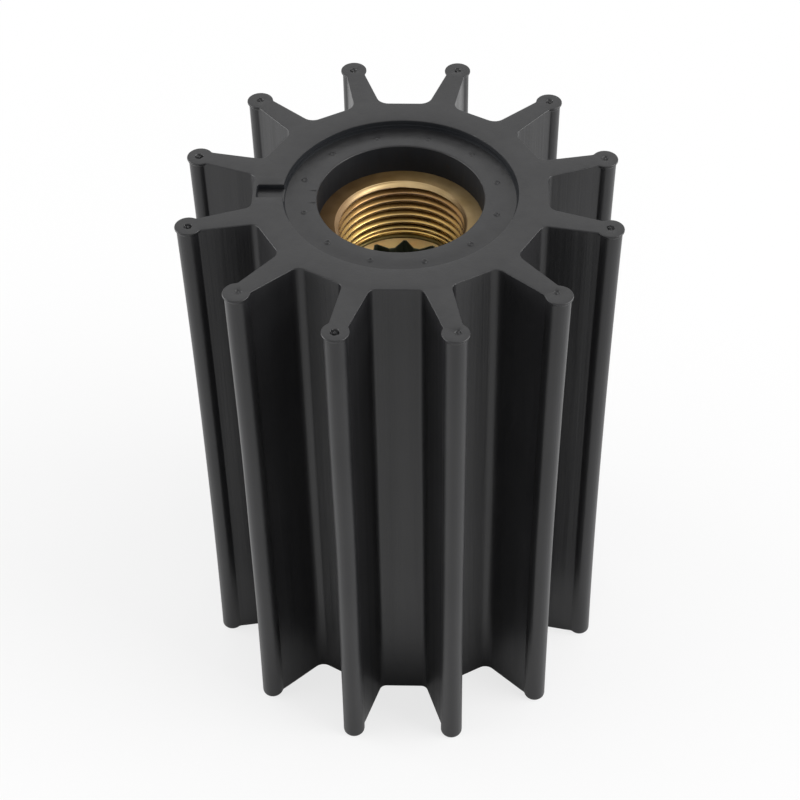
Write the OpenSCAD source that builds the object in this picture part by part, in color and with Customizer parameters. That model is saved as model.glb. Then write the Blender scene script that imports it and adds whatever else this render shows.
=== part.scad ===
// Flexible pump impeller: a rubber moulding with twelve straight blades on a faceted hub,
// moulded round a brass insert that has a puller thread at the upper end and a drive spline below it.
// The part stands on its lower end face, with the shaft axis along Z.

/* [Overall] */
// Diameter over the beads along the blade tips
impeller_d = 95; // [88:0.5:104]
// Length along the shaft axis
impeller_len = 128; // [80:1:160]

/* [Blades] */
// Number of blades
blade_n = 12; // [8:1:13]
// Blade thickness where it leaves the hub
blade_root_t = 5.8; // [4.5:0.1:6.5]
// Blade thickness under the tip bead
blade_tip_t = 3.7; // [3:0.1:4.4]
// Diameter of the round bead along each blade tip
bead_d = 5; // [4.8:0.1:6.6]
// How far the wider head at the upper end of each bead stands out past the bead
head_lip = 0.35; // [0.2:0.05:0.8]
// Length of that head
head_len = 0.4; // [0.3:0.1:3]
// Length of the taper from the head to the bead
head_taper = 0.5; // [0.3:0.1:3]
// Radius of the fillet between a blade and the hub
root_fillet_r = 2.2; // [1:0.1:3.6]

/* [Hub] */
// Distance between two opposite flats of the hub
hub_flats_w = 62; // [57:0.2:66]
// Diameter of the shallow recess in each end face
recess_d = 49.4; // [44:0.2:53]
// Depth of the recess
recess_depth = 1.9; // [1.6:0.1:3]
// Width of the ledge half way down the recess wall
ledge_w = 0.35; // [0.2:0.05:0.8]
// Depth of the ledge below the end face
ledge_depth = 1.1; // [0.4:0.1:1.2]
// Width of the locating slot that runs out of the upper recess
slot_w = 4.2; // [3:0.1:6]
// Depth of the locating slot
slot_depth = 1.2; // [0.8:0.1:1.5]
// Rubber left between the end of the slot and the pocket behind it
slot_rim_t = 0.8; // [0.6:0.1:2]
// Diameter of the hole through each rubber end lip
mouth_d = 35.2; // [31:0.2:38]
// Depth from the end face to the end of the brass insert
mouth_depth = 8.3; // [5:0.1:12]

/* [Brass insert] */
// Outside diameter of the insert
insert_d = 40; // [39:0.5:48]
// Crest diameter of the puller thread
thread_d = 26.4; // [25.6:0.1:27.6]
// Length of the puller thread
thread_len = 13.8; // [8:0.1:20]
// Width of the chamfer at each end of the insert's bore
bore_chamfer = 1.1; // [0.6:0.1:1.6]
// Diameter of the relief groove between thread and spline
relief_d = 28.6; // [27.8:0.1:30]
// Length of the relief groove
relief_len = 1.9; // [1:0.1:3]

/* [Drive spline] */
// Number of spline teeth
spline_n = 12; // [8:1:14]
// Diameter inside the tooth tips
spline_tip_d = 20.4; // [18:0.1:21]
// Diameter over the bottoms of the spline grooves
spline_root_d = 25.2; // [23:0.1:25.4]
// Width of the flat on each tooth tip
tooth_tip_w = 1.3; // [0.6:0.1:2]
// Width of the flat at the bottom of each groove
groove_root_w = 0.6; // [0.3:0.1:1.2]

/* [Hidden] */
$fn = 96;

// How far a cutting or joining solid reaches past the surface that it passes
reach = 1;
// How far a fillet's arc dips below each wall, so that the two meet at a definite edge
fillet_dip = 0.01;

blade_step = 360 / blade_n;
hub_flat_r = hub_flats_w / 2;
hub_corner_r = hub_flat_r / cos(blade_step / 2);
bead_centre_r = impeller_d / 2 - bead_d / 2;
// How far a blade's side leans in, from the hub to the bead
blade_lean = atan((blade_root_t - blade_tip_t) / 2 / (bead_centre_r - hub_flat_r));
insert_len = impeller_len - 2 * mouth_depth;
insert_top_z = impeller_len - mouth_depth;
thread_end_z = insert_top_z - thread_len;
spline_top_z = thread_end_z - relief_len;
slot_end_r = hub_flat_r - slot_rim_t;

// Corners of the hub, one on the centre line of each blade
function hub_corners() = [
    for (i = [0 : blade_n - 1])
        hub_corner_r * [cos((i + 0.5) * blade_step), sin((i + 0.5) * blade_step)]
];

// Point on the upper side of a blade that lies along +X, at a distance from the axis
function blade_side(r) = [r, blade_root_t / 2 - (r - hub_flat_r) * tan(blade_lean)];

// A blade along +X as one tapered outline, from inside the hub to the middle of its bead
module blade_outline() {
    root = blade_side(hub_flat_r - root_fillet_r);
    tip = blade_side(bead_centre_r);
    polygon([[root.x, -root.y], [tip.x, -tip.y], tip, root]);
}

// The concave corner between a blade's upper side and the hub flat beside it
module root_fillet() {
    flat_dir = [cos(blade_step / 2), sin(blade_step / 2)];
    side_dir = [sin(blade_lean), cos(blade_lean)];
    gap = root_fillet_r - fillet_dip;
    // The centre lies at the same distance from the hub flat and from the blade's side
    side_at = blade_side(0) * side_dir + gap;
    flat_at = hub_flat_r + gap;
    cross = flat_dir.x * side_dir.y - flat_dir.y * side_dir.x;
    centre = [
        (flat_at * side_dir.y - side_at * flat_dir.y) / cross,
        (side_at * flat_dir.x - flat_at * side_dir.x) / cross
    ];
    on_flat = centre - root_fillet_r * flat_dir;
    on_side = centre - root_fillet_r * side_dir;
    difference() {
        polygon([on_side, centre, on_flat, on_flat - reach * flat_dir, [on_flat.x, 0], [on_side.x, 0]]);
        translate(centre) circle(r = root_fillet_r);
    }
}

module blade_section() {
    blade_outline();
    root_fillet();
    mirror([0, 1]) root_fillet();
    translate([bead_centre_r, 0]) circle(d = bead_d);
}

// Section of the moulding across the shaft axis
module rubber_section() {
    polygon(hub_corners());
    for (i = [0 : blade_n - 1])
        rotate((i + 0.5) * blade_step) blade_section();
}

// Recess in an end face at z = 0 that opens upwards, with its stepped wall
module recess_cut() {
    translate([0, 0, -recess_depth])
        cylinder(d = recess_d - 2 * ledge_w, h = recess_depth + reach);
    translate([0, 0, -ledge_depth])
        cylinder(d = recess_d, h = ledge_depth + reach);
}

// Slot along -X from the upper recess, closed by a thin rim at the hub's flat
module slot_cut() {
    translate([-slot_end_r, -slot_w / 2, -slot_depth])
        cube([slot_end_r - mouth_d / 2 - reach, slot_w, slot_depth + reach]);
}

// Wider upper end of each bead. The cone under it starts inside the bead, which it leaves half way up.
module bead_heads() {
    for (i = [0 : blade_n - 1])
        rotate((i + 0.5) * blade_step) translate([bead_centre_r, 0, impeller_len - head_len]) {
            cylinder(r = bead_d / 2 + head_lip, h = head_len);
            translate([0, 0, -2 * head_taper])
                cylinder(r1 = bead_d / 2 - head_lip, r2 = bead_d / 2 + head_lip, h = 2 * head_taper);
        }
}

module rubber_body() {
    color([0.27, 0.27, 0.28])
    difference() {
        union() {
            linear_extrude(height = impeller_len) rubber_section();
            bead_heads();
        }
        translate([0, 0, impeller_len]) {
            recess_cut();
            slot_cut();
        }
        mirror([0, 0, 1]) recess_cut();
        translate([0, 0, -reach])
            cylinder(d = mouth_d, h = impeller_len + 2 * reach);
        translate([0, 0, mouth_depth])
            cylinder(d = insert_d, h = insert_len);
    }
}

// Corners of one groove and the tooth tip beside it, repeated round the bore
function spline_corners() = [
    for (i = [0 : spline_n - 1])
        let (groove = i * 360 / spline_n,
             half_root = asin(groove_root_w / spline_root_d),
             half_tip = 180 / spline_n - asin(tooth_tip_w / spline_tip_d))
        for (corner = [
            [spline_tip_d / 2, -half_tip], [spline_root_d / 2, -half_root],
            [spline_root_d / 2, half_root], [spline_tip_d / 2, half_tip]
        ])
            corner[0] * [cos(groove + corner[1]), sin(groove + corner[1])]
];

// Cone that chamfers a bore of radius r at an end face at z = 0, opening upwards.
// It narrows on to narrow_r, which lies in the open middle of the bore.
module bore_chamfer_cut(r, narrow_r) {
    drop = r + bore_chamfer - narrow_r;
    translate([0, 0, -drop])
        cylinder(r1 = narrow_r, r2 = narrow_r + drop + reach, h = drop + reach);
}

module brass_insert() {
    color([0.78, 0.62, 0.36])
    difference() {
        translate([0, 0, mouth_depth]) cylinder(d = insert_d, h = insert_len);
        translate([0, 0, mouth_depth - reach])
            linear_extrude(height = spline_top_z - mouth_depth + 2 * reach) polygon(spline_corners());
        translate([0, 0, spline_top_z]) cylinder(d = relief_d, h = relief_len);
        translate([0, 0, spline_top_z]) cylinder(d = thread_d, h = insert_top_z - spline_top_z + reach);
        translate([0, 0, insert_top_z]) bore_chamfer_cut(thread_d / 2, thread_d / 2 - reach);
        translate([0, 0, mouth_depth]) mirror([0, 0, 1])
            bore_chamfer_cut(spline_root_d / 2, spline_tip_d / 2 - reach);
    }
}

rubber_body();
brass_insert();
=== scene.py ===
"""Looks of the rubber pump impeller: a moulded rubber body round a turned brass insert.

Lengths on the part are in millimetres in its own frame, and make_piece() scales them to metres.
Those of the floor, the card, the lamps and the camera are in metres.
"""

import math
import random

import bpy
from mathutils import Matrix, Vector, noise
from mathutils.geometry import delaunay_2d_cdt


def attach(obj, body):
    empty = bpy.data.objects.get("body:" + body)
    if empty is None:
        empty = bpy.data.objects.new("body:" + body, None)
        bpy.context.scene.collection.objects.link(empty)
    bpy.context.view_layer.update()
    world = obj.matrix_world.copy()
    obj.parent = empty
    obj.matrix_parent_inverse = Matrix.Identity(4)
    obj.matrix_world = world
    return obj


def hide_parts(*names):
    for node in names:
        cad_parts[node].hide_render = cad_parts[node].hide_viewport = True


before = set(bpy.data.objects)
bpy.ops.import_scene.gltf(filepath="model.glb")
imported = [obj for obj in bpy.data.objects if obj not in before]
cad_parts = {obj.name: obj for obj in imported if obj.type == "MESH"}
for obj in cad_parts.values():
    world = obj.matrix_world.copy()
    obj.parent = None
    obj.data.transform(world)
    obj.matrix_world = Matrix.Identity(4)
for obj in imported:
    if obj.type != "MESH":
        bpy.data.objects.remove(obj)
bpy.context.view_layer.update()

# Whole part
LENGTH = 128.0
BLADES = 12
STEP = 360.0 / BLADES

# Tip beads: radius, distance of their middle from the axis, and the wider head at the upper end
BEAD_R = 2.5
BEAD_AT = 45.0
HEAD_LIP = 0.35
HEAD_LEN = 0.4
HEAD_TAPER = 0.5

# Hub flats, and blades by half their thickness at the hub and at the bead. LEAN is the angle of their sides
FLAT_R = 31.0
ROOT_HALF = 2.9
TIP_HALF = 1.85
NECK_FILLET = 0.7
LEAN = math.atan((ROOT_HALF - TIP_HALF) / (BEAD_AT - FLAT_R))

# Edges that turn by less than these angles in degrees are shaded smooth
RUBBER_SHARP = 40
BRASS_SHARP = 35

# Rounded ends, with more rounding on the beads at the lower end, and the tips' bow and waver
TOP_ROUND = 0.22
LOW_ROUND = 0.35
LOW_ROUND_BEAD = 0.3
TIP_BOW = 0.55
TIP_WAVER = 0.22
WAVER_LENGTH = 45.0

# End-face recess with its ledge, and the locating slot, whose floor is rounded off by SLOT_LIP at its mouth
RECESS_R = 24.7
RECESS_DEPTH = 1.9
LEDGE_W = 0.35
LEDGE_DEPTH = 1.1
SLOT_HALF = 2.1
SLOT_END = 30.2
SLOT_DEPTH = 1.2
SLOT_CORNER = 0.4
SLOT_LIP = 0.35

# Upper recess floor: its rise between two radii, and the small ring marks on it
FLOOR_RISE = 0.38
RISE_START_R = 23.6
RISE_END_R = 19.2
PIP_R = 20.9
PIP_RIDGE = 0.18

# Angles of the round surfaces in degrees: the step beside a pip, and the half width left out at the slot
FINE_STEP = 0.25
SLOT_CLEAR = 6

# Rounded edges, as distances outside a radius and below a face: the recess wall's, the upper mouth's and the
# bore chamfer's. BROKEN_EDGE is the small edge at both ends of the thread
RECESS_EDGE = [(0.2, 0.0), (0.06, 0.06), (0.0, 0.2)]
MOUTH_EDGE = [(0.14, 0.05), (0.04, 0.14), (0.0, 0.3)]
BROKEN_EDGE = 0.1
CHAMFER_EDGE = [(0.12, 0.0), (0.03, 0.03), (-BROKEN_EDGE, BROKEN_EDGE)]

# Rings that only divide the insert's two flat faces
TOP_RING_R = 16.0
SPLINE_RING_R = 13.4

# Hole through the end lips, and the insert
MOUTH_R = 17.6
MOUTH_DEPTH = 8.3
INSERT_R = 20.0
CHAMFER_R = 14.0
CHAMFER_LEN = 1.1

# Puller thread. Depths are from the upper end face, on the side away from the camera
THREAD_CREST_R = 13.2
THREAD_PITCH = 2.0
THREAD_FIRST_CREST = 11.2
THREAD_LAST_FULL = 19.2
THREAD_END = 22.3
# Where the paint of its crests and of its flanks ends, as distances from a crest
CREST_HALF = 0.27
FLANK_END = 0.63
# Its run-out: the shares of a pitch that the last two turns take. Their groove starts to fade FADE_START
# past the last full crest
RUN_OUT = (0.83, 0.6)
FADE_START = 1.2
FADE_PER_MM = 0.306

# Relief groove
RELIEF_R = 14.3
RELIEF_END = 24.0
RELIEF_FILLET = 0.7

# Drive spline, with the half widths of its flats, the broken edge at its upper end and the lower chamfer.
# Its rows are even down to the height BORE_ROWS_END, and closer below it.
# SPLINE_TURN is how far its grooves lie clockwise of the X axis, in degrees
SPLINE_ROOT_R = 12.6
SPLINE_TIP_R = 10.2
SPLINE_ROOT_HALF = 0.3
SPLINE_TIP_HALF = 0.65
SPLINE_EDGE = 0.25
SPLINE_CHAMFER = 1.1
SPLINE_TURN = 1.5
BORE_ROWS_END = 16.0

# White in the floor, as a share. Where the camera sees it, it grows from FLOOR_LIFT beside the part to 1.
# Where the part mirrors it, it fades from MIRROR_LIFT to 0 between the blades. The ranges are distances
# from the axis
FLOOR_LIFT = 0.75
FLOOR_LIFT_RANGE = (0.06, 0.3)
MIRROR_LIFT = 0.62
MIRROR_LIFT_RANGE = (0.028, 0.064)
# The floor's half size, and how far it lies below the part
FLOOR_HALF = 3.0
FLOOR_DROP = 0.00005
# Dark card: half width, its two ends along Y, and its height
CARD_HALF = 0.16
CARD_ENDS = (-0.45, -0.06)
CARD_HEIGHT = 1.1
ROOM_LIGHT = 0.5
# Lamps: name, place, aim, size and power
SOFTBOXES = [("back_box", (0.0, 0.75, 1.0), (0, 0, 0.09), (1.2, 0.6), 1.5),
             ("left_box", (-0.9, 0.0, 0.22), (0, 0, 0.07), (1.0, 0.4), 9.0),
             ("right_box", (0.9, 0.0, 0.22), (0, 0, 0.07), (1.0, 0.4), 7.5),
             ("key_box", (0.72, -0.2, 0.85), (0, 0, 0.1), (0.6, 0.35), 4.5)]

# Camera: its elevation, roll and turn about the part in degrees, and its place to the right, up and back
# from the middle of the upper end face, in units of CAMERA_UNIT
CAMERA_TILT = 44.515
CAMERA_ROLL = -1.005
CAMERA_TURN = 2.192
CAMERA_UNIT = 0.0451
CAMERA_PLACE = (-0.00295, -0.96632, 9.3899)
FOCAL_PIXELS = 2025.1
PICTURE_PIXELS = 800
SENSOR_MM = 36

# The three lists below have one entry for each blade, anticlockwise from the one at 15 degrees, so that
# entries 8 and 9 are the front blades. First the root fillets on a blade's clockwise and on its other side
ROOT_FILLETS = [(1.5, 2.0), (2.4, 2.6), (2.7, 2.7), (2.7, 2.7), (2.6, 2.4), (1.8, 1.6),
                (1.7, 1.9), (2.2, 2.6), (1.7, 1.6), (1.6, 1.7), (2.6, 2.2), (1.9, 2.2)]
# How far each blade's tip stands off in x and y, at the upper and at the lower end
STANDS = [((-0.3, 0.0), (-0.3, 0.0)), ((0.0, 0.0), (-0.2, -0.2)), ((0.0, 0.0), (0.0, -0.2)),
          ((0.0, 0.0), (0.0, -0.2)), ((0.0, 0.0), (0.2, -0.2)), ((0.3, 0.0), (0.3, 0.0)),
          ((0.0, 0.0), (0.35, 0.1)), ((0.0, -0.35), (0.3, -0.6)), ((0.05, 0.15), (0.2, -0.3)),
          ((0.2, 0.02), (-0.05, -0.3)), ((0.4, -0.35), (-0.35, -0.6)), ((-0.12, 0.1), (-0.5, -0.2))]
# Dimple in each bead's end: offset outwards and to the anticlockwise side, radius, and depth share
DIMPLES = [(0.0, 0.1, 0.80, 0.4), (0.1, 0.0, 0.85, 0.7), (0.0, 0.0, 0.85, 0.6), (-0.2, 0.1, 0.80, 0.7),
           (0.0, -0.1, 0.80, 0.6), (0.2, 0.1, 0.90, 0.9), (0.1, 0.1, 0.90, 1.0), (-0.3, 0.2, 0.75, 0.3),
           (0.25, 0.0, 0.98, 1.0), (0.1, 0.4, 0.75, 0.35), (-0.7, 0.1, 0.75, 0.35), (-0.1, 0.2, 0.90, 0.7)]
# Section of a dimple, as shares of its radius and the drop there, and how far its nib may stand off
DIMPLE_PROFILE = [(1.0, 0.0), (0.94, -0.07), (0.87, -0.3), (0.74, -0.52), (0.6, -0.58),
                  (0.46, -0.44), (0.34, -0.14), (0.18, -0.04)]
NIB_SHIFT = 0.35

random.seed(7)


def turn(p, degrees):
    """The point turned about the origin."""
    c, s = math.cos(math.radians(degrees)), math.sin(math.radians(degrees))
    return (c * p[0] - s * p[1], s * p[0] + c * p[1])


def arc(centre, radius, start, end, steps):
    """Points and directions from the centre, both ends included."""
    out = []
    for i in range(steps + 1):
        a = math.radians(start + (end - start) * i / steps)
        d = (math.cos(a), math.sin(a))
        out.append(((centre[0] + radius * d[0], centre[1] + radius * d[1]), d))
    return out


# One closed surface
class Skin:
    """Faces in mm whose corners are shared wherever two points fall together."""

    def __init__(self):
        self.points = []
        self.index = {}
        self.faces = []
        self.flat = []
        self.paint = 0
        self.paints = []

    def corner(self, p):
        key = (round(p[0], 4), round(p[1], 4), round(p[2], 4))
        if key not in self.index:
            self.index[key] = len(self.points)
            self.points.append(p)
        return self.index[key]

    def face(self, corners, flat=False):
        ids = [self.corner(p) for p in corners]
        ids = [v for i, v in enumerate(ids) if v != ids[i - 1]]
        if len(set(ids)) >= 3 and len(set(ids)) == len(ids):
            self.faces.append(ids)
            self.flat.append(flat)
            self.paints.append(self.paint)

    def band(self, low, high):
        """Quads between two closed loops with as many points."""
        n = len(low)
        for i in range(n):
            j = (i + 1) % n
            self.face((low[i], low[j], high[j], high[i]))

    def stack(self, loops):
        for low, high in zip(loops, loops[1:]):
            self.band(low, high)

    def cap(self, outer, holes, z):
        """Flat face between an outer loop and the loops of its holes."""
        loops = [outer] + holes
        points = [p for loop in loops for p in loop]
        edges, start = [], 0
        for loop in loops:
            n = len(loop)
            edges += [(start + i, start + (i + 1) % n) for i in range(n)]
            start += n
        flat = [Vector((p[0], p[1])) for p in points]
        cut = delaunay_2d_cdt(flat, edges, [], 0, 1e-6)
        for tri in cut[2]:
            ids = [cut[3][v][0] for v in tri]
            middle = [sum(points[i][k] for i in ids) / 3 for k in (0, 1)]
            if not inside(middle, outer) or any(inside(middle, h) for h in holes):
                continue
            self.face([(points[i][0], points[i][1], z) for i in ids], flat=True)


def inside(p, loop):
    """Whether a point lies inside a closed loop."""
    hit = False
    for a, b in zip(loop, loop[1:] + loop[:1]):
        if (a[1] > p[1]) != (b[1] > p[1]):
            if p[0] < a[0] + (p[1] - a[1]) * (b[0] - a[0]) / (b[1] - a[1]):
                hit = not hit
    return hit


def at_height(loop, z):
    return [(p[0], p[1], z) for p in loop]


def make_piece(name, skin, materials, node, sharp_angle):
    """Turns a skin into an object that stands for a CAD node."""
    mesh = bpy.data.meshes.new(name)
    mesh.from_pydata([(x / 1000, y / 1000, z / 1000) for x, y, z in skin.points], [], skin.faces)
    mesh.update()
    piece = bpy.data.objects.new(name, mesh)
    bpy.context.scene.collection.objects.link(piece)
    bpy.context.view_layer.objects.active = piece
    bpy.ops.object.select_all(action="DESELECT")
    piece.select_set(True)
    bpy.ops.object.mode_set(mode="EDIT")
    bpy.ops.mesh.select_all(action="SELECT")
    bpy.ops.mesh.normals_make_consistent(inside=False)
    bpy.ops.object.mode_set(mode="OBJECT")
    for face, flat, paint in zip(mesh.polygons, skin.flat, skin.paints):
        face.use_smooth = not flat
        face.material_index = paint
    mesh.set_sharp_from_angle(angle=math.radians(sharp_angle))
    for material in materials:
        mesh.materials.append(material)
    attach(piece, "root")
    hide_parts(node)


# Rubber body
def half_blade(bead_r, fillet):
    """Outline of half a blade along +X, from the bead's tip to the middle of the hub flat.

    Each entry is the point, the outward direction there, and how much it belongs to the bead.
    """
    side = (math.sin(LEAN), math.cos(LEAN))
    along = (math.cos(LEAN), -math.sin(LEAN))
    flat = (math.cos(math.radians(STEP / 2)), math.sin(math.radians(STEP / 2)))
    side_at = (ROOT_HALF + FLAT_R * math.tan(LEAN)) * side[1]
    # The neck's arc touches the blade's side and the bead from outside
    base = [(side_at + NECK_FILLET) * s for s in side]
    off = (base[0] - BEAD_AT, base[1])
    b = off[0] * along[0] + off[1] * along[1]
    c = off[0] ** 2 + off[1] ** 2 - (bead_r + NECK_FILLET) ** 2
    u = -b - math.sqrt(b * b - c)
    neck = (base[0] + u * along[0], base[1] + u * along[1])
    meet = math.degrees(math.atan2(neck[1], neck[0] - BEAD_AT))
    # The root fillet touches the blade's side and the hub flat
    side_gap, flat_gap = side_at + fillet, FLAT_R + fillet
    cross = flat[0] * side[1] - flat[1] * side[0]
    root = ((flat_gap * side[1] - side_gap * flat[1]) / cross,
            (side_gap * flat[0] - flat_gap * side[0]) / cross)
    down = 270 - math.degrees(LEAN)
    path = [(p, d, 1.0) for p, d in arc((BEAD_AT, 0), bead_r, 0, meet, 10)]
    for p, d in arc(neck, NECK_FILLET, meet + 180, down, 4)[1:]:
        path.append((p, (-d[0], -d[1]), 0.6))
    start = path[-1][0]
    bend = arc(root, fillet, down, 180 + STEP / 2, 9)
    end = bend[0][0]
    for i in range(1, 7):
        t = i / 7
        path.append(((start[0] + t * (end[0] - start[0]), start[1] + t * (end[1] - start[1])),
                     side, 0.3 * (1 - t)))
    path += [(p, (-d[0], -d[1]), 0.0) for p, d in bend]
    last = path[-1][0]
    middle = (FLAT_R * flat[0], FLAT_R * flat[1])
    for t in (0.35, 0.7):
        path.append(((last[0] + t * (middle[0] - last[0]), last[1] + t * (middle[1] - last[1])),
                     flat, 0.0))
    return path, (middle, flat, 0.0)


def outline(bead_r):
    """The whole section's outline, anticlockwise, with a blade number for each point."""
    points = []
    for k in range(BLADES):
        angle = (k + 0.5) * STEP
        clockwise = half_blade(bead_r, ROOT_FILLETS[k][0])[0]
        half, middle = half_blade(bead_r, ROOT_FILLETS[k][1])
        lower = [((p[0], -p[1]), (d[0], -d[1]), w) for p, d, w in reversed(clockwise[1:])]
        for p, d, w in [((middle[0][0], -middle[0][1]), (middle[1][0], -middle[1][1]), 0.0)] + lower + half:
            points.append((turn(p, angle), turn(d, angle), w, k))
    return points


def bead_radius(depth):
    """Radius of a bead at a depth below the upper end face, with the wider head at the top."""
    return BEAD_R + HEAD_LIP * min(1.0, max(0.0, (HEAD_LEN + HEAD_TAPER - depth) / HEAD_TAPER))


def end_inset(depth, weight):
    """How far the skin lies inside the CAD section, at a depth below the upper end face."""
    rounding = 0.0
    if depth < TOP_ROUND:
        rounding = TOP_ROUND - math.sqrt(max(0.0, TOP_ROUND ** 2 - (TOP_ROUND - depth) ** 2))
    low = LENGTH - depth
    radius = LOW_ROUND + LOW_ROUND_BEAD * weight
    if low < radius:
        rounding += 0.8 * (radius - math.sqrt(max(0.0, radius ** 2 - (radius - low) ** 2)))
    return rounding


def sway(p, k, z):
    """A moulded blade's waver: inwards at mid height, a little to either side, and its stand at the ends."""
    r = math.hypot(p[0], p[1])
    share = max(0.0, (r - FLAT_R) / (BEAD_AT + BEAD_R - FLAT_R))
    mid = 1 - (2 * z / LENGTH - 1) ** 2
    pull = -TIP_BOW * share * mid
    side = TIP_WAVER * share * mid * noise.noise(Vector((k * 3.7, z / WAVER_LENGTH, 1.3)))
    u = (p[0] / r, p[1] / r)
    upper, lower = STANDS[k]
    t = z / LENGTH
    stand = [share * (t * upper[i] + (1 - t) * lower[i]) for i in (0, 1)]
    return (p[0] + pull * u[0] - side * u[1] + stand[0], p[1] + pull * u[1] + side * u[0] + stand[1])


def skin_levels():
    """Depths below the upper end face at which the outer skin has a loop."""
    top = [0.0, 0.02, 0.06, 0.12, 0.22, 0.4, 0.48, 0.65, 0.82, 0.92, 1.1, 3.5]
    body = [6.0 + i * (LENGTH - 12.0) / 24 for i in range(25)]
    low = [LENGTH - d for d in (3.0, 2.0, 1.2, 0.9, 0.6, 0.35, 0.18, 0.08, 0.02, 0.0)]
    return top + body + low


def outer_loop(depth):
    """Loop of the outer skin at a depth below the upper end face."""
    z = LENGTH - depth
    loop = []
    for p, d, w, k in outline(bead_radius(depth)):
        inset = end_inset(depth, w)
        q = sway((p[0] - inset * d[0], p[1] - inset * d[1]), k, z)
        loop.append((q[0], q[1], z))
    return loop


def lathe_angles():
    """Angles of the body's round surfaces, closer together beside each pip, clear of the slot."""
    marks = set(range(360))
    for k in range(BLADES):
        middle = (k + 0.5) * STEP
        marks |= {round(middle + FINE_STEP * i, 2) for i in range(-9, 10)}
    return sorted(a for a in marks if abs(a - 180) >= SLOT_CLEAR)


ANGLES = lathe_angles()


def ring(r, z):
    """Full circle at radius r. Its points beside the slot are those of keyhole()."""
    half = math.degrees(math.asin(SLOT_HALF / r))
    gap = [180 - half + 2 * half * i / 8 for i in range(9)]
    angles = [a for a in ANGLES if a < 180] + gap + [a for a in ANGLES if a > 180]
    return [(r * math.cos(math.radians(a)), r * math.sin(math.radians(a)), z) for a in angles]


def keyhole(r, grow, z):
    """Circle at radius r with the slot's outline, that runs out along -X."""
    w, end = SLOT_HALF + grow, SLOT_END + grow
    x = math.sqrt(r * r - w * w)
    slot = [(-x, w)]
    straight = end - SLOT_CORNER - x
    slot += [(-x - straight * t, w) for t in (0.3, 0.7, 1.0)]
    slot += [p for p, d in arc((SLOT_CORNER - end, w - SLOT_CORNER), SLOT_CORNER, 90, 180, 4)[1:]]
    slot += [(-end, w * t) for t in (0.4, 0.0, -0.4)]
    slot += [p for p, d in arc((SLOT_CORNER - end, SLOT_CORNER - w), SLOT_CORNER, 180, 270, 4)]
    slot += [(-x - straight * t, -w) for t in (0.7, 0.3)]
    slot += [(-x, -w)]
    before = [turn((r, 0), a) for a in ANGLES if a < 180]
    after = [turn((r, 0), a) for a in ANGLES if a > 180]
    return at_height(before + slot + after, z), at_height(slot, z)


def mouth_arc(r):
    """Points of the recess wall's circle across the slot's mouth, without its corners."""
    half = math.degrees(math.asin(SLOT_HALF / r))
    return [p for p, d in arc((0, 0), r, 180 + half, 180 - half, 8)][1:-1]


def add_slot_floor(skin, r, z):
    """Slot floor at height z, with the rounded edge where it drops to the recess floor."""
    corners = keyhole(r, 0.0, z)[1]
    edge = at_height([(x - SLOT_LIP, y) for x, y in mouth_arc(r)], z)
    half_way = at_height([(x - 0.3 * SLOT_LIP, y) for x, y in mouth_arc(r)], z - 0.3 * SLOT_LIP)
    low = at_height(mouth_arc(r), z - SLOT_LIP)
    skin.cap(corners + edge, [], z)
    for upper, lower in ((edge, half_way), (half_way, low)):
        rows = [[corners[-1]] + row + [corners[0]] for row in (upper, lower)]
        for i in range(len(rows[0]) - 1):
            skin.face((rows[0][i], rows[0][i + 1], rows[1][i + 1], rows[1][i]))


def slot_mouth_ring(r, z):
    """The recess wall's circle at height z, dropped across the slot's mouth."""
    low = {(round(x, 4), round(y, 4)) for x, y in mouth_arc(r)}
    return [(x, y, z - SLOT_LIP * ((round(x, 4), round(y, 4)) in low)) for x, y, z in ring(r, z)]


def pip_height(x, y):
    """Height of the small torn rings round the recess floor."""
    h = 0.0
    for k, (at, turned, size, tall) in enumerate(PIPS):
        px, py = turn((at, 0), turned)
        d = math.hypot(x - px, y - py) - size
        if abs(d) < 3 * PIP_RIDGE:
            lump = noise.noise(Vector((x * 2.3, y * 2.3, k)))
            h += tall * (1 + 0.9 * lump) * math.exp(-(d / PIP_RIDGE) ** 2)
    return h


PIPS = [(PIP_R + random.uniform(-0.3, 0.3), (k + 0.5) * STEP + random.uniform(-0.8, 0.8),
         random.uniform(0.36, 0.5), random.uniform(0.12, 0.18)) for k in range(BLADES)]


def floor_rise(r):
    """How far the upper recess floor rises towards the mouth."""
    t = min(1.0, max(0.0, (RISE_START_R - r) / (RISE_START_R - RISE_END_R)))
    return FLOOR_RISE * t * t * (3 - 2 * t)


def recess_floor(z, detail):
    """Rings from the recess wall to the mouth, with the rise and the pips on the upper floor."""
    radii = [24.0, 23.4, 22.6]
    radii += [22.1 - 0.13 * i for i in range(20)] if detail else [22.0, 21.0, 20.0]
    radii += [RISE_END_R, 18.6, MOUTH_R + 0.3]
    loops = []
    for r in radii:
        loop = ring(r, z)
        if detail:
            loop = [(x, y, z + floor_rise(r) + pip_height(x, y)) for x, y, _ in loop]
        loops.append(loop)
    return loops


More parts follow.
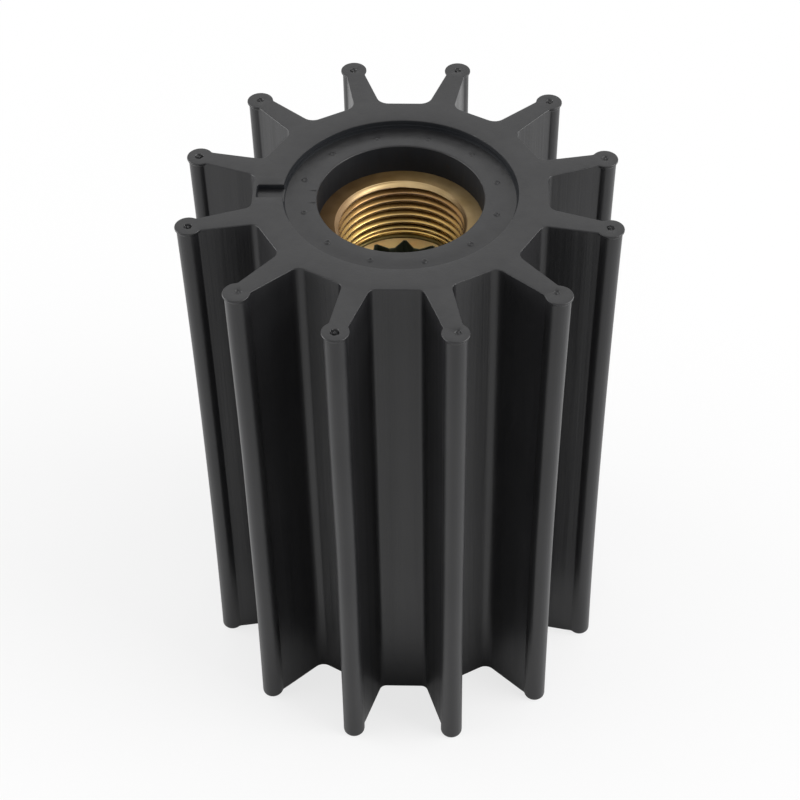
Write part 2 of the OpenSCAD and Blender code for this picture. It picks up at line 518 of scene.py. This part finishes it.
def dimple(skin, k):
    """Torn crater with a nib in the end of one bead. Gives the loop that it cuts in the end face."""
    out, side, size, share = DIMPLES[k]
    x, y = turn((BEAD_AT + out, side), (k + 0.5) * STEP)
    x, y = sway((x, y), k, LENGTH)
    nib = (random.uniform(-NIB_SHIFT, NIB_SHIFT), random.uniform(-NIB_SHIFT, NIB_SHIFT))
    steps = 32
    loops = []
    for part, drop in DIMPLE_PROFILE:
        loop = []
        for i in range(steps):
            a = 2 * math.pi * i / steps
            c, s = math.cos(a), math.sin(a)
            wave = 1 + 0.22 * noise.noise(Vector((1.6 * c, 1.6 * s, k * 5.0)))
            wave += 0.12 * noise.noise(Vector((5 * c, 5 * s, k * 2.0)))
            tear = 0.3 * (1 - part) * noise.noise(Vector((3 * c, 3 * s, k + 2 * part)))
            loop.append((x + nib[0] * (1 - part) + size * part * wave * c,
                         y + nib[1] * (1 - part) + size * part * wave * s,
                         LENGTH + share * min(0.0, drop + tear * (part < 0.9))))
        loops.append(loop)
    skin.stack(loops)
    last = loops[-1]
    middle = tuple(sum(p[i] for p in last) / steps for i in range(3))
    for i in range(steps):
        skin.face((last[i], last[(i + 1) % steps], middle))
    return loops[0]


# Paints of the body, in the order of rubber_materials()
MOULDED, MATT_SHADE = range(2)


def build_rubber():
    skin = Skin()
    sides = [outer_loop(depth) for depth in skin_levels()]
    skin.stack(sides)
    # Upper end: recess wall with its ledge, slot and floor
    top = LENGTH
    holes = [dimple(skin, k) for k in range(BLADES)]
    inner = RECESS_R - LEDGE_W
    walls = [keyhole(RECESS_R + out, out, top - down)[0] for out, down in RECESS_EDGE]
    walls += [keyhole(r, 0.0, top - down)[0] for r, down in (
        (RECESS_R, LEDGE_DEPTH - 0.03), (RECESS_R - 0.04, LEDGE_DEPTH),
        (inner, LEDGE_DEPTH + 0.02), (inner, SLOT_DEPTH))]
    skin.stack(walls[:3])
    skin.cap(sides[0], [walls[0]] + holes, top)
    add_slot_floor(skin, inner, top - SLOT_DEPTH)
    floor_z = top - RECESS_DEPTH
    # Painted shade: the lower recess wall takes the darker, duller rubber
    skin.paint = MATT_SHADE
    skin.stack(walls[2:])
    low_wall = [slot_mouth_ring(inner, top - SLOT_DEPTH), ring(inner, floor_z + 0.15),
                ring(inner - 0.05, floor_z + 0.04)]
    skin.stack(low_wall)
    skin.paint = MOULDED
    loops = low_wall[-1:] + recess_floor(floor_z, True)
    edge_z = floor_z + FLOOR_RISE
    loops += [ring(MOUTH_R + out, edge_z - down) for out, down in MOUTH_EDGE]
    skin.stack(loops)
    # Painted shade: the mouth's wall takes the darker, duller rubber too
    skin.paint = MATT_SHADE
    skin.stack([loops[-1], ring(MOUTH_R, top - MOUTH_DEPTH), ring(INSERT_R, top - MOUTH_DEPTH)])
    # The bond round the insert, and the lower mouth
    skin.paint = MOULDED
    loops = [ring(INSERT_R, top - MOUTH_DEPTH), ring(INSERT_R, MOUTH_DEPTH), ring(MOUTH_R, MOUTH_DEPTH)]
    loops += [ring(MOUTH_R, RECESS_DEPTH + 0.3), ring(MOUTH_R + 0.05, RECESS_DEPTH + 0.1)]
    loops += list(reversed(recess_floor(RECESS_DEPTH, False)))
    loops += [ring(inner, RECESS_DEPTH - 0.1), ring(inner, LEDGE_DEPTH + 0.02), ring(RECESS_R, LEDGE_DEPTH)]
    loops += [ring(RECESS_R + out, down) for out, down in reversed(RECESS_EDGE)]
    skin.stack(loops)
    skin.cap(sides[-1], [loops[-1]], 0.0)
    return skin


# Brass insert
def spline_corners():
    """Angles from a groove's middle to the end of its flat, and to the start of the next tooth's tip."""
    root_half = math.degrees(math.asin(SPLINE_ROOT_HALF / SPLINE_ROOT_R))
    tip_half = STEP / 2 - math.degrees(math.asin(SPLINE_TIP_HALF / SPLINE_TIP_R))
    return root_half, tip_half


def spline_radius(a, grow=0.0):
    """Radius of the splined bore in the direction a, in degrees."""
    t = abs((a + SPLINE_TURN + STEP / 2) % STEP - STEP / 2)
    root_half, tip_half = spline_corners()
    if t <= root_half:
        flat = SPLINE_ROOT_R * math.cos(math.radians(root_half))
        return flat / math.cos(math.radians(t)) + grow
    if t >= tip_half:
        flat = SPLINE_TIP_R * math.cos(math.radians(STEP / 2 - tip_half))
        return flat / math.cos(math.radians(STEP / 2 - t)) + grow
    p = turn((SPLINE_ROOT_R, 0), root_half)
    q = turn((SPLINE_TIP_R, 0), tip_half)
    d = (math.cos(math.radians(t)), math.sin(math.radians(t)))
    e = (q[0] - p[0], q[1] - p[1])
    return (p[0] * e[1] - p[1] * e[0]) / (d[0] * e[1] - d[1] * e[0]) + grow


def brass_angles():
    """Angles of the insert's surface, with one on each corner of the spline."""
    root_half, tip_half = spline_corners()
    flank = [root_half + (tip_half - root_half) * i / 9 for i in range(10)]
    half = flank + [tip_half + (STEP / 2 - tip_half) * i / 3 for i in (1, 2)]
    sector = [-STEP / 2] + [-a for a in reversed(half)] + [0.0] + half
    return [k * STEP + a - SPLINE_TURN for k in range(BLADES) for a in sector]


def thread_profile():
    """One pitch of the thread's section: distance along the axis from a crest, and depth of the groove."""
    half = [(0.0, 0.0), (0.14, 0.0), (0.22, 0.02), (0.30, 0.08), (0.38, 0.2), (0.5, 0.4), (0.62, 0.61),
            (0.74, 0.81), (0.86, 1.02), (0.93, 1.12), (1.0, 1.16)]
    return half + [(THREAD_PITCH - x, r) for x, r in reversed(half[1:-1])]


def thread_paint(x):
    """Paint at a distance along the axis from a crest: pale crests as a painted highlight, and dark roots as
    painted shade.
    """
    x = abs(x - THREAD_PITCH * round(x / THREAD_PITCH))
    if x < CREST_HALF:
        return CREST
    return FLANK if x < FLANK_END else ROOT


def run_out(x):
    """Depth of a place on the thread, and the share of its groove that is cut: the last turns fade out."""
    past = x - THREAD_LAST_FULL
    share = min(1.0, max(0.0, 1.0 - FADE_PER_MM * (past - FADE_START)))
    if past <= 0:
        return x, share
    if past <= THREAD_PITCH:
        return THREAD_LAST_FULL + RUN_OUT[0] * past, share
    return THREAD_LAST_FULL + RUN_OUT[0] * THREAD_PITCH + RUN_OUT[1] * (past - THREAD_PITCH), share


def add_thread(skin, top_depth, end_depth):
    """Left-handed thread between two depths. Its rows follow the helix and are cut off at the ends."""
    first = THREAD_FIRST_CREST - 3 * THREAD_PITCH
    turns = math.ceil((end_depth - first) / THREAD_PITCH) + 3
    rows = [(n * THREAD_PITCH + x, r) for n in range(turns) for x, r in thread_profile()]
    angles = brass_angles()
    chamfer_end = MOUTH_DEPTH + CHAMFER_LEN
    chamfer_slope = (CHAMFER_R - THREAD_CREST_R) / CHAMFER_LEN
    columns = []
    for a in angles + [angles[0] + 360]:
        column = []
        for x, r in rows:
            depth, share = run_out(first + x + THREAD_PITCH * (a - 90) / 360)
            depth = min(max(depth, top_depth), end_depth)
            radius = max(THREAD_CREST_R + share * r, CHAMFER_R - chamfer_slope * (depth - MOUTH_DEPTH))
            if depth == top_depth:
                radius = CHAMFER_R - BROKEN_EDGE
            if depth == end_depth:
                radius = RELIEF_R - BROKEN_EDGE
            column.append((*turn((radius, 0), a), LENGTH - depth))
        columns.append(column)
    for left, right in zip(columns, columns[1:]):
        for i in range(len(rows) - 1):
            middle = (rows[i][0] + rows[i + 1][0]) / 2
            skin.paint = SATIN if LENGTH - left[i + 1][2] < chamfer_end else thread_paint(middle)
            skin.face((left[i], left[i + 1], right[i + 1], right[i]))


def brass_ring(radius, z):
    """Loop of the insert's surface, where radius is a number or a function of the angle."""
    loop = []
    for a in brass_angles():
        r = radius(a) if callable(radius) else radius
        loop.append((r * math.cos(math.radians(a)), r * math.sin(math.radians(a)), z))
    return loop


# Paints of the insert, in the order of brass_materials()
CREST, FLANK, ROOT, DULL, DARK, PALE, SATIN, RELIEF_SHADE = range(8)


def build_brass():
    skin = Skin()
    top, low = LENGTH - MOUTH_DEPTH, MOUTH_DEPTH
    face = LENGTH - RELIEF_END
    skin.paint = DULL
    bend = [brass_ring(CHAMFER_R + out, top - down) for out, down in CHAMFER_EDGE]
    skin.stack([brass_ring(INSERT_R, low), brass_ring(INSERT_R, top), brass_ring(TOP_RING_R, top), bend[0]])
    skin.paint = SATIN
    skin.stack(bend)
    add_thread(skin, MOUTH_DEPTH + BROKEN_EDGE, THREAD_END)
    # Painted shade: the relief groove and its fillet are painted dark
    skin.paint = RELIEF_SHADE
    relief_top = LENGTH - THREAD_END
    relief = brass_ring(RELIEF_R, relief_top - BROKEN_EDGE)
    skin.stack([brass_ring(RELIEF_R - BROKEN_EDGE, relief_top), relief])
    corner = (RELIEF_R - RELIEF_FILLET, face + RELIEF_FILLET)
    bend = [brass_ring(p[0], p[1]) for p, d in arc(corner, RELIEF_FILLET, 0, -90, 5)]
    skin.stack([relief] + bend)
    # Painted light: the spline's end face is painted a pale brass, lighter than any other brass here
    skin.paint = PALE
    edge = brass_ring(lambda a: spline_radius(a, SPLINE_EDGE), face)
    skin.stack([bend[-1], brass_ring(SPLINE_RING_R, face), edge])
    # Painted shade: the splined bore is painted near black, far darker than brass
    skin.paint = DARK
    bore_top = face - SPLINE_EDGE
    loops = [edge, brass_ring(lambda a: spline_radius(a, 0.05), face - 0.08),
             brass_ring(spline_radius, bore_top)]
    loops += [brass_ring(spline_radius, bore_top - i * (bore_top - BORE_ROWS_END) / 8) for i in range(1, 9)]
    # The lower chamfer cuts the tooth ends back
    for i in range(20, -1, -1):
        z = low + 0.2 * i
        cone = SPLINE_ROOT_R + SPLINE_CHAMFER - (z - low)
        loops.append(brass_ring(lambda a: max(spline_radius(a), cone), z))
    skin.stack(loops)
    skin.paint = DULL
    skin.stack([loops[-1], brass_ring(INSERT_R, low)])
    return skin


# Materials

# Noise patterns: scale per mm, stretch along the axes, detail, and roughness where it isn't 0.5
RUBBER_CLOUDS = (0.09, (1, 1, 0.5), 3.0)
RUBBER_STREAKS = (0.45, (1, 1, 0.02), 3.0)
RUBBER_LINES = (2.6, (1, 1, 0.012), 2.0)
RUBBER_GRAIN = (2.2, (1, 1, 1), 5.0, 0.6)
BRASS_CLOUDS = (0.25, (1, 1, 1), 4.0)
BRASS_TURNING = (0.6, (0.15, 0.15, 1.0), 2.0)
# Part of a noise over which tones change, and the shares of a roughness at its two ends
NOISE_SPAN = (0.3, 0.7)
RUBBER_SHINE = (0.88, 1.12)
BRASS_SHINE = (0.92, 1.08)
# Heights in metres and strengths of the rubber's relief
STREAK_BUMP = (0.0002, 0.35)
LINE_BUMP = (0.00003, 0.6)
GRAIN_BUMP = (0.00005, 0.4)


def nodes_of(material):
    """Node tree of a new material, and the shader that is wired to its output."""
    material.use_nodes = True
    tree = material.node_tree
    tree.nodes.clear()
    out = tree.nodes.new("ShaderNodeOutputMaterial")
    shader = tree.nodes.new("ShaderNodeBsdfPrincipled")
    tree.links.new(shader.outputs["BSDF"], out.inputs["Surface"])
    return tree, shader


def add_noise(tree, coords, scale, stretch, detail=4.0, roughness=0.5):
    """Noise in mm coordinates, stretched along the axes."""
    mapping = tree.nodes.new("ShaderNodeMapping")
    mapping.inputs["Scale"].default_value = [1000 * s for s in stretch]
    tex = tree.nodes.new("ShaderNodeTexNoise")
    tex.inputs["Scale"].default_value = scale
    tex.inputs["Detail"].default_value = detail
    tex.inputs["Roughness"].default_value = roughness
    tree.links.new(coords.outputs["Object"], mapping.inputs["Vector"])
    tree.links.new(mapping.outputs["Vector"], tex.inputs["Vector"])
    return tex


def add_ramp(tree, source, stops):
    """Colours that follow a source between their stops."""
    ramp = tree.nodes.new("ShaderNodeValToRGB")
    elements = ramp.color_ramp.elements
    while len(elements) < len(stops):
        elements.new(0.5)
    for element, (place, colour) in zip(elements, stops):
        element.position = place
        element.color = (*colour, 1.0)
    tree.links.new(source, ramp.inputs["Fac"])
    return ramp


def add_bump(tree, height, distance, strength, before=None):
    """Fine relief from a height, on top of the relief before it."""
    bump = tree.nodes.new("ShaderNodeBump")
    bump.inputs["Distance"].default_value = distance
    bump.inputs["Strength"].default_value = strength
    tree.links.new(height, bump.inputs["Height"])
    if before:
        tree.links.new(before.outputs["Normal"], bump.inputs["Normal"])
    return bump


def add_tone(tree, coords, pattern, dark, light):
    """Colour that changes between two tones with a noise pattern."""
    tex = add_noise(tree, coords, *pattern)
    return add_ramp(tree, tex.outputs["Fac"], list(zip(NOISE_SPAN, (dark, light)))).outputs["Color"]


def add_shine(tree, shader, source, rough, shares):
    """Roughness that changes with a noise, between two shares of rough."""
    stops = [(place, (rough * share,) * 3) for place, share in zip(NOISE_SPAN, shares)]
    tree.links.new(add_ramp(tree, source, stops).outputs["Color"], shader.inputs["Roughness"])


def add_math(tree, operation, first, second):
    """Math node between a socket and either another socket or a number."""
    node = tree.nodes.new("ShaderNodeMath")
    node.operation = operation
    tree.links.new(first, node.inputs[0])
    if isinstance(second, float):
        node.inputs[1].default_value = second
    else:
        tree.links.new(second, node.inputs[1])
    return node.outputs[0]


def add_range(tree, value, start, end, low, high):
    """Smooth change from low to high while the value goes from start to end."""
    node = tree.nodes.new("ShaderNodeMapRange")
    node.interpolation_type = "SMOOTHSTEP"
    for name, number in (("From Min", start), ("From Max", end), ("To Min", low), ("To Max", high)):
        node.inputs[name].default_value = number
    tree.links.new(value, node.inputs["Value"])
    return node.outputs["Result"]


def rubber_material(name, dark, light, rough, specular):
    """Dark rubber with mould streaks along the shaft axis and a fine grain."""
    material = bpy.data.materials.new(name)
    tree, shader = nodes_of(material)
    coords = tree.nodes.new("ShaderNodeTexCoord")
    tone = add_tone(tree, coords, RUBBER_CLOUDS, dark, light)
    tree.links.new(tone, shader.inputs["Base Color"])
    streaks = add_noise(tree, coords, *RUBBER_STREAKS)
    add_shine(tree, shader, streaks.outputs["Fac"], rough, RUBBER_SHINE)
    lines = add_noise(tree, coords, *RUBBER_LINES)
    grain = add_noise(tree, coords, *RUBBER_GRAIN)
    bump = add_bump(tree, streaks.outputs["Fac"], *STREAK_BUMP)
    bump = add_bump(tree, lines.outputs["Fac"], *LINE_BUMP, bump)
    bump = add_bump(tree, grain.outputs["Fac"], *GRAIN_BUMP, bump)
    tree.links.new(bump.outputs["Normal"], shader.inputs["Normal"])
    shader.inputs["Specular IOR Level"].default_value = specular
    return material


def rubber_materials():
    return [rubber_material("moulded_rubber", (0.010, 0.010, 0.011), (0.015, 0.015, 0.016), 0.36, 0.42),
            # A rougher finish, and darker than the moulded rubber as painted shade
            rubber_material("matt_shaded_rubber", (0.007, 0.008, 0.010), (0.011, 0.012, 0.014), 0.6, 0.2)]


def add_painted_shade(tree, coords, tone, axis, start, end, stops):
    """Painted light and shade that changes along an axis of the part, between two places in mm."""
    split = tree.nodes.new("ShaderNodeSeparateXYZ")
    tree.links.new(coords.outputs["Object"], split.inputs["Vector"])
    place = add_range(tree, split.outputs[axis], start / 1000, end / 1000, 0.0, 1.0)
    fade = add_ramp(tree, place, stops)
    mix = tree.nodes.new("ShaderNodeMix")
    mix.data_type = "RGBA"
    mix.blend_type = "MULTIPLY"
    mix.inputs["Factor"].default_value = 1.0
    tree.links.new(tone, mix.inputs["A"])
    tree.links.new(fade.outputs["Color"], mix.inputs["B"])
    return mix.outputs["Result"]


def brass_material(name, dark, light, rough, fade=None):
    """Brass between two tones, with a roughness that varies a little round the turning marks."""
    material = bpy.data.materials.new(name)
    tree, shader = nodes_of(material)
    coords = tree.nodes.new("ShaderNodeTexCoord")
    tone = add_tone(tree, coords, BRASS_CLOUDS, dark, light)
    if fade:
        tone = add_painted_shade(tree, coords, tone, *fade)
    tree.links.new(tone, shader.inputs["Base Color"])
    shader.inputs["Metallic"].default_value = 1.0
    turned = add_noise(tree, coords, *BRASS_TURNING)
    add_shine(tree, shader, turned.outputs["Fac"], rough, BRASS_SHINE)
    return material


# Painted light and shade: the thread's paint lightens downwards, the face's darkens to -X, the chamfer's at
# both X ends
THREAD_PAINTED_LIGHT = ("Z", 105.5, 118.6, [
    (0.0, (1.0, 1.0, 0.92)), (0.5, (0.86, 0.80, 0.76)), (1.0, (0.45, 0.38, 0.43))])
CHAMFER_PAINTED_SHADE = ("X", -14.0, 14.0, [
    (0.0, (0.52, 0.47, 0.50)), (0.11, (1.0, 1.0, 1.0)), (0.4, (1.0, 1.0, 1.0)), (0.7, (0.87, 0.87, 0.87)),
    (0.94, (0.52, 0.52, 0.52)), (1.0, (0.30, 0.28, 0.28))])
FACE_PAINTED_SHADE = ("X", -16.0, 17.0, [
    (0.0, (0.28, 0.23, 0.22)), (0.3, (0.55, 0.46, 0.38)), (0.6, (0.66, 0.60, 0.52)),
    (1.0, (0.78, 0.76, 0.78))])


def brass_materials():
    # Painted highlight: the thread's crests are painted paler than its flanks
    return [brass_material("crest_painted_highlight", (0.88, 0.67, 0.34), (0.95, 0.76, 0.42), 0.5, THREAD_PAINTED_LIGHT),
            brass_material("thread_flanks", (0.62, 0.41, 0.135), (0.70, 0.49, 0.18), 0.28, THREAD_PAINTED_LIGHT),
            # Painted shade: the thread's roots are painted near black
            brass_material("root_painted_shade", (0.20, 0.11, 0.035), (0.26, 0.15, 0.05), 0.4),
            # Painted shade: the insert's face darkens towards -X
            brass_material("dull_brass", (0.37, 0.27, 0.125), (0.47, 0.36, 0.19), 0.65, FACE_PAINTED_SHADE),
            # Painted shade in the splined bore
            brass_material("bore_painted_shade", (0.10, 0.12, 0.085), (0.15, 0.17, 0.125), 0.7),
            # Painted light on the spline's end face
            brass_material("painted_light_brass", (0.98, 0.79, 0.45), (1.0, 0.88, 0.56), 1.0),
            # Painted shade: the bore chamfer darkens towards both ends along X
            brass_material("satin_brass", (0.58, 0.41, 0.20), (0.66, 0.49, 0.26), 0.45, CHAMFER_PAINTED_SHADE),
            # Painted shade in the relief groove
            brass_material("relief_painted_shade", (0.17, 0.13, 0.045), (0.24, 0.19, 0.08), 0.5)]


def seen_directly(tree):
    """1 on camera, glossy and transmission rays, which see the backdrop, and 0 on the rest."""
    path = tree.nodes.new("ShaderNodeLightPath")
    either = add_math(tree, "MAXIMUM", path.outputs["Is Camera Ray"], path.outputs["Is Glossy Ray"])
    return add_math(tree, "MAXIMUM", either, path.outputs["Is Transmission Ray"])


def floor_lift(tree):
    """Share of white in the floor: all of it far from the part, and less beside it, where its shadow lies.

    In a mirrored view the white fades out in the shade between the blades.
    """
    path = tree.nodes.new("ShaderNodeLightPath")
    coords = tree.nodes.new("ShaderNodeTexCoord")
    away = tree.nodes.new("ShaderNodeVectorMath")
    away.operation = "LENGTH"
    tree.links.new(coords.outputs["Object"], away.inputs[0])
    open_floor = add_range(tree, away.outputs["Value"], *MIRROR_LIFT_RANGE, 0.0, MIRROR_LIFT)
    mirrored = add_math(tree, "MAXIMUM", path.outputs["Is Glossy Ray"], path.outputs["Is Transmission Ray"])
    mirrored = add_math(tree, "MULTIPLY", mirrored, open_floor)
    backdrop = add_range(tree, away.outputs["Value"], *FLOOR_LIFT_RANGE, FLOOR_LIFT, 1.0)
    seen = add_math(tree, "MULTIPLY", path.outputs["Is Camera Ray"], backdrop)
    return add_math(tree, "MAXIMUM", seen, mirrored)


def floor_material():
    """Pale floor that keeps the object's shadow, lifted part of the way to white where it is seen."""
    material = bpy.data.materials.new("pale_floor")
    tree, shader = nodes_of(material)
    shader.inputs["Base Color"].default_value = (0.85, 0.85, 0.85, 1.0)
    shader.inputs["Roughness"].default_value = 0.9
    shader.inputs["Specular IOR Level"].default_value = 0.1
    glow = tree.nodes.new("ShaderNodeEmission")
    glow.inputs["Color"].default_value = (1, 1, 1, 1)
    glow.inputs["Strength"].default_value = 1.0
    lifted = tree.nodes.new("ShaderNodeMixShader")
    tree.links.new(floor_lift(tree), lifted.inputs[0])
    tree.links.new(shader.outputs[0], lifted.inputs[1])
    tree.links.new(glow.outputs[0], lifted.inputs[2])
    tree.links.new(lifted.outputs[0], tree.nodes["Material Output"].inputs["Surface"])
    return material


# Stage, light and camera
def build_floor():
    mesh = bpy.data.meshes.new("floor")
    s, z = FLOOR_HALF, -FLOOR_DROP
    mesh.from_pydata([(-s, -s, z), (s, -s, z), (s, s, z), (-s, s, z)], [], [(0, 1, 2, 3)])
    floor = bpy.data.objects.new("floor", mesh)
    bpy.context.scene.collection.objects.link(floor)
    mesh.materials.append(floor_material())


def build_dark_card():
    """Dark card high over the part, which the polished thread mirrors as a dark band."""
    mesh = bpy.data.meshes.new("dark_card")
    x, z = CARD_HALF, CARD_HEIGHT
    near, far = CARD_ENDS
    mesh.from_pydata([(-x, near, z), (x, near, z), (x, far, z), (-x, far, z)], [], [(0, 1, 2, 3)])
    card = bpy.data.objects.new("dark_card", mesh)
    bpy.context.scene.collection.objects.link(card)
    material = bpy.data.materials.new("dark_card")
    tree, shader = nodes_of(material)
    shader.inputs["Base Color"].default_value = (0.02, 0.02, 0.02, 1.0)
    shader.inputs["Roughness"].default_value = 1.0
    mesh.materials.append(material)


def add_softbox(name, place, aim, size, power):
    """Rectangular lamp that shines towards aim."""
    data = bpy.data.lights.new(name, "AREA")
    data.shape = "RECTANGLE"
    data.size, data.size_y = size
    data.energy = power
    light = bpy.data.objects.new(name, data)
    light.location = place
    light.rotation_euler = (Vector(aim) - Vector(place)).to_track_quat("-Z", "Y").to_euler()
    bpy.context.scene.collection.objects.link(light)


def build_world():
    """White backdrop where it is seen, and a dimmer light from all round for the rest."""
    world = bpy.data.worlds.new("studio")
    bpy.context.scene.world = world
    world.use_nodes = True
    tree = world.node_tree
    tree.nodes.clear()
    out = tree.nodes.new("ShaderNodeOutputWorld")
    mix = tree.nodes.new("ShaderNodeMixShader")
    seen = tree.nodes.new("ShaderNodeBackground")
    room = tree.nodes.new("ShaderNodeBackground")
    seen.inputs["Color"].default_value = (1, 1, 1, 1)
    seen.inputs["Strength"].default_value = 1.0
    room.inputs["Color"].default_value = (1, 1, 1, 1)
    room.inputs["Strength"].default_value = ROOM_LIGHT
    tree.links.new(seen_directly(tree), mix.inputs[0])
    tree.links.new(room.outputs[0], mix.inputs[1])
    tree.links.new(seen.outputs[0], mix.inputs[2])
    tree.links.new(mix.outputs[0], out.inputs["Surface"])


def build_camera():
    """Camera at the photograph's place, found from the blade ends seen in it."""
    tilt, roll = math.radians(CAMERA_TILT), math.radians(CAMERA_ROLL)
    shift_right, shift_up, away = [share * CAMERA_UNIT for share in CAMERA_PLACE]
    right = Vector((1, 0, 0))
    up = Vector((0, math.sin(tilt), math.cos(tilt)))
    back = Vector((0, -math.cos(tilt), math.sin(tilt)))
    right_rolled = math.cos(roll) * right + math.sin(roll) * up
    up_rolled = math.cos(roll) * up - math.sin(roll) * right
    place = shift_right * right_rolled + shift_up * up_rolled + away * back
    about = [Vector((*turn((v.x, v.y), CAMERA_TURN), v.z)) for v in (right_rolled, up_rolled, back, place)]
    data = bpy.data.cameras.new("camera")
    data.lens = FOCAL_PIXELS / PICTURE_PIXELS * SENSOR_MM
    data.sensor_width = SENSOR_MM
    data.clip_start, data.clip_end = 0.01, 20
    camera = bpy.data.objects.new("camera", data)
    basis = [[about[col][row] for col in range(3)] for row in range(3)]
    shift = Matrix.Translation(about[3] + Vector((0, 0, LENGTH / 1000)))
    camera.matrix_world = shift @ Matrix(basis).to_4x4()
    bpy.context.scene.collection.objects.link(camera)
    bpy.context.scene.camera = camera


make_piece("impeller_rubber", build_rubber(), rubber_materials(), "rubber_body", RUBBER_SHARP)
make_piece("impeller_brass", build_brass(), brass_materials(), "brass_insert", BRASS_SHARP)
build_floor()
build_dark_card()
build_world()
for softbox in SOFTBOXES:
    add_softbox(*softbox)
build_camera()
bpy.context.scene.view_settings.view_transform = "Standard"
